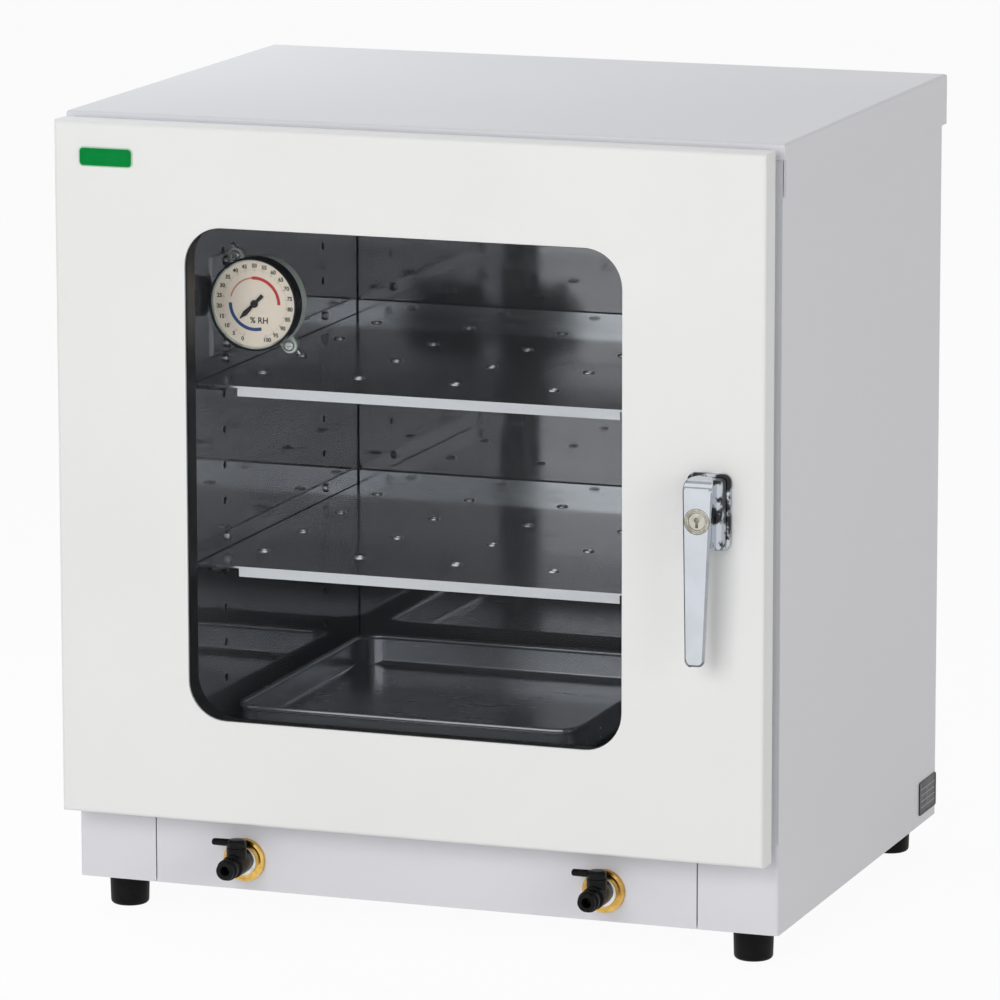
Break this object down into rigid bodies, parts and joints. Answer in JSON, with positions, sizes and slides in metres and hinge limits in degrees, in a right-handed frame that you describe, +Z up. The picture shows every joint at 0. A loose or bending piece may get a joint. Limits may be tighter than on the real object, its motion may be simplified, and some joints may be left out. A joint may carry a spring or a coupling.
{
  "type": "desiccator cabinet",
  "caption": "Bench-top desiccator cabinet with a glazed swing door, locking lever handle, drilled shelves, desiccant tray, dial hygrometer and purge valves.",
  "frame": {"origin": "middle of the bounding box seen from above, on the surface the feet stand on", "axes": "+Z up, +X to the right and -Y to the front, as seen by a person facing the door"},
  "size_m": [0.478, 0.409, 0.522],
  "materials": {
    "case_paint": "smooth light grey-white enamel",
    "door_paint": "smooth white enamel",
    "inner_paint": "satin white enamel",
    "zinc_sheet": "zinc-plated",
    "screws": "zinc-plated",
    "chamber_steel": "mirror-polished stainless steel",
    "shelf_steel": "satin stainless steel",
    "tray_steel": "bright stainless steel",
    "foot_rubber": "matte",
    "seal_rubber": "matte",
    "smoked_pane": "smoked, glossy",
    "green_plate": "gloss",
    "black_plate": "satin",
    "handle_chrome": "polished",
    "lock_metal": "pale, satin",
    "pawl_steel": "satin",
    "gauge_paint": "grey-green enamel",
    "gauge_black": "gloss",
    "gauge_dial": "matte, printed scale without words",
    "clear_lens": "clear",
    "valve_brass": "polished",
    "valve_nickel": "nickel-plated",
    "valve_black": "satin",
    "tube_plastic": "translucent"
  },
  "bodies": {
    "case": {"side_left": "case_paint", "side_right": "case_paint", "back_panel": "case_paint", "base_plate": "zinc_sheet", "valve_panel": "case_paint", "top_cover": "case_paint", "front_frame": "inner_paint", "chamber_liner": "chamber_steel", "liner_back": "chamber_steel", "strike_plate": "zinc_sheet", "back_screws": "screws", "cover_screws": "screws", "nameplate": "black_plate", "foot_front_left": "foot_rubber", "foot_front_right": "foot_rubber", "foot_back_left": "foot_rubber", "foot_back_right": "foot_rubber", "foot_screws": "screws", "rail_upper_left": "shelf_steel", "rail_upper_right": "shelf_steel", "rail_lower_left": "shelf_steel", "rail_lower_right": "shelf_steel", "rail_screws": "screws", "body_leaf_upper": "zinc_sheet", "body_leaf_lower": "zinc_sheet", "hinge_pins": "screws", "gauge_case": "gauge_paint", "gauge_bezel": "gauge_black", "gauge_dial": "gauge_dial", "gauge_lens": "clear_lens", "gauge_bracket": "zinc_sheet", "gauge_clamp": "screws", "bracket_screws": "screws", "valve_flanges": "valve_brass", "valve_collars": "valve_nickel", "valve_left_body": "valve_black", "valve_right_body": "valve_black", "valve_nuts": "screws", "gas_tubes": "tube_plastic"},
    "door": {"door_shell": "door_paint", "door_pan": "inner_paint", "window_collar": "inner_paint", "door_leaf_upper": "zinc_sheet", "door_leaf_lower": "zinc_sheet", "window_pane": "smoked_pane", "window_seal": "seal_rubber", "door_gasket": "seal_rubber", "badge": "green_plate", "handle_base": "handle_chrome"},
    "handle": {"lever": "handle_chrome", "lock_barrel": "lock_metal", "latch_pawl": "pawl_steel", "pawl_nut": "screws"},
    "key_plug": {"lock_plug": "lock_metal"},
    "upper_shelf": {"shelf_upper": "shelf_steel"},
    "lower_shelf": {"shelf_lower": "shelf_steel"},
    "tray": {"desiccant_tray": "tray_steel"},
    "pointer": {"gauge_pointer": "gauge_black"},
    "left_cock": {"valve_left_cock": "valve_black"},
    "right_cock": {"valve_right_cock": "valve_black"}
  },
  "joints": [
    {"name": "door_swing", "type": "hinge", "parent": "case", "child": "door", "pos_m": [-0.236, -0.1505, 0.29575], "axis": [0, 0, -1], "range_deg": [0, 110]},
    {"name": "handle_turn", "type": "hinge", "parent": "door", "child": "handle", "pos_m": [0.201, -0.1938, 0.2945], "axis": [0, 1, 0], "range_deg": [0, 90]},
    {"name": "key_turn", "type": "hinge", "parent": "handle", "child": "key_plug", "pos_m": [0.201, -0.2015, 0.2945], "axis": [0, 1, 0], "range_deg": [0, 90]},
    {"name": "upper_shelf_slide", "type": "slide", "parent": "case", "child": "upper_shelf", "axis": [0, -1, 0], "range_m": [0, 0.01]},
    {"name": "lower_shelf_slide", "type": "slide", "parent": "case", "child": "lower_shelf", "axis": [0, -1, 0], "range_m": [0, 0.01]},
    {"name": "tray_slide", "type": "slide", "parent": "case", "child": "tray", "axis": [0, -1, 0], "range_m": [0, 0.04]},
    {"name": "pointer_turn", "type": "hinge", "parent": "case", "child": "pointer", "pos_m": [-0.1235, -0.1195, 0.399], "axis": [0, 1, 0], "range_deg": [-15, 285]},
    {"name": "valve_left_turn", "type": "hinge", "parent": "case", "child": "left_cock", "pos_m": [-0.122, -0.162, 0.05], "axis": [0, 0, 1], "range_deg": [0, 90]},
    {"name": "valve_right_turn", "type": "hinge", "parent": "case", "child": "right_cock", "pos_m": [0.122, -0.162, 0.05], "axis": [0, 0, 1], "range_deg": [0, 90]}
  ]
}
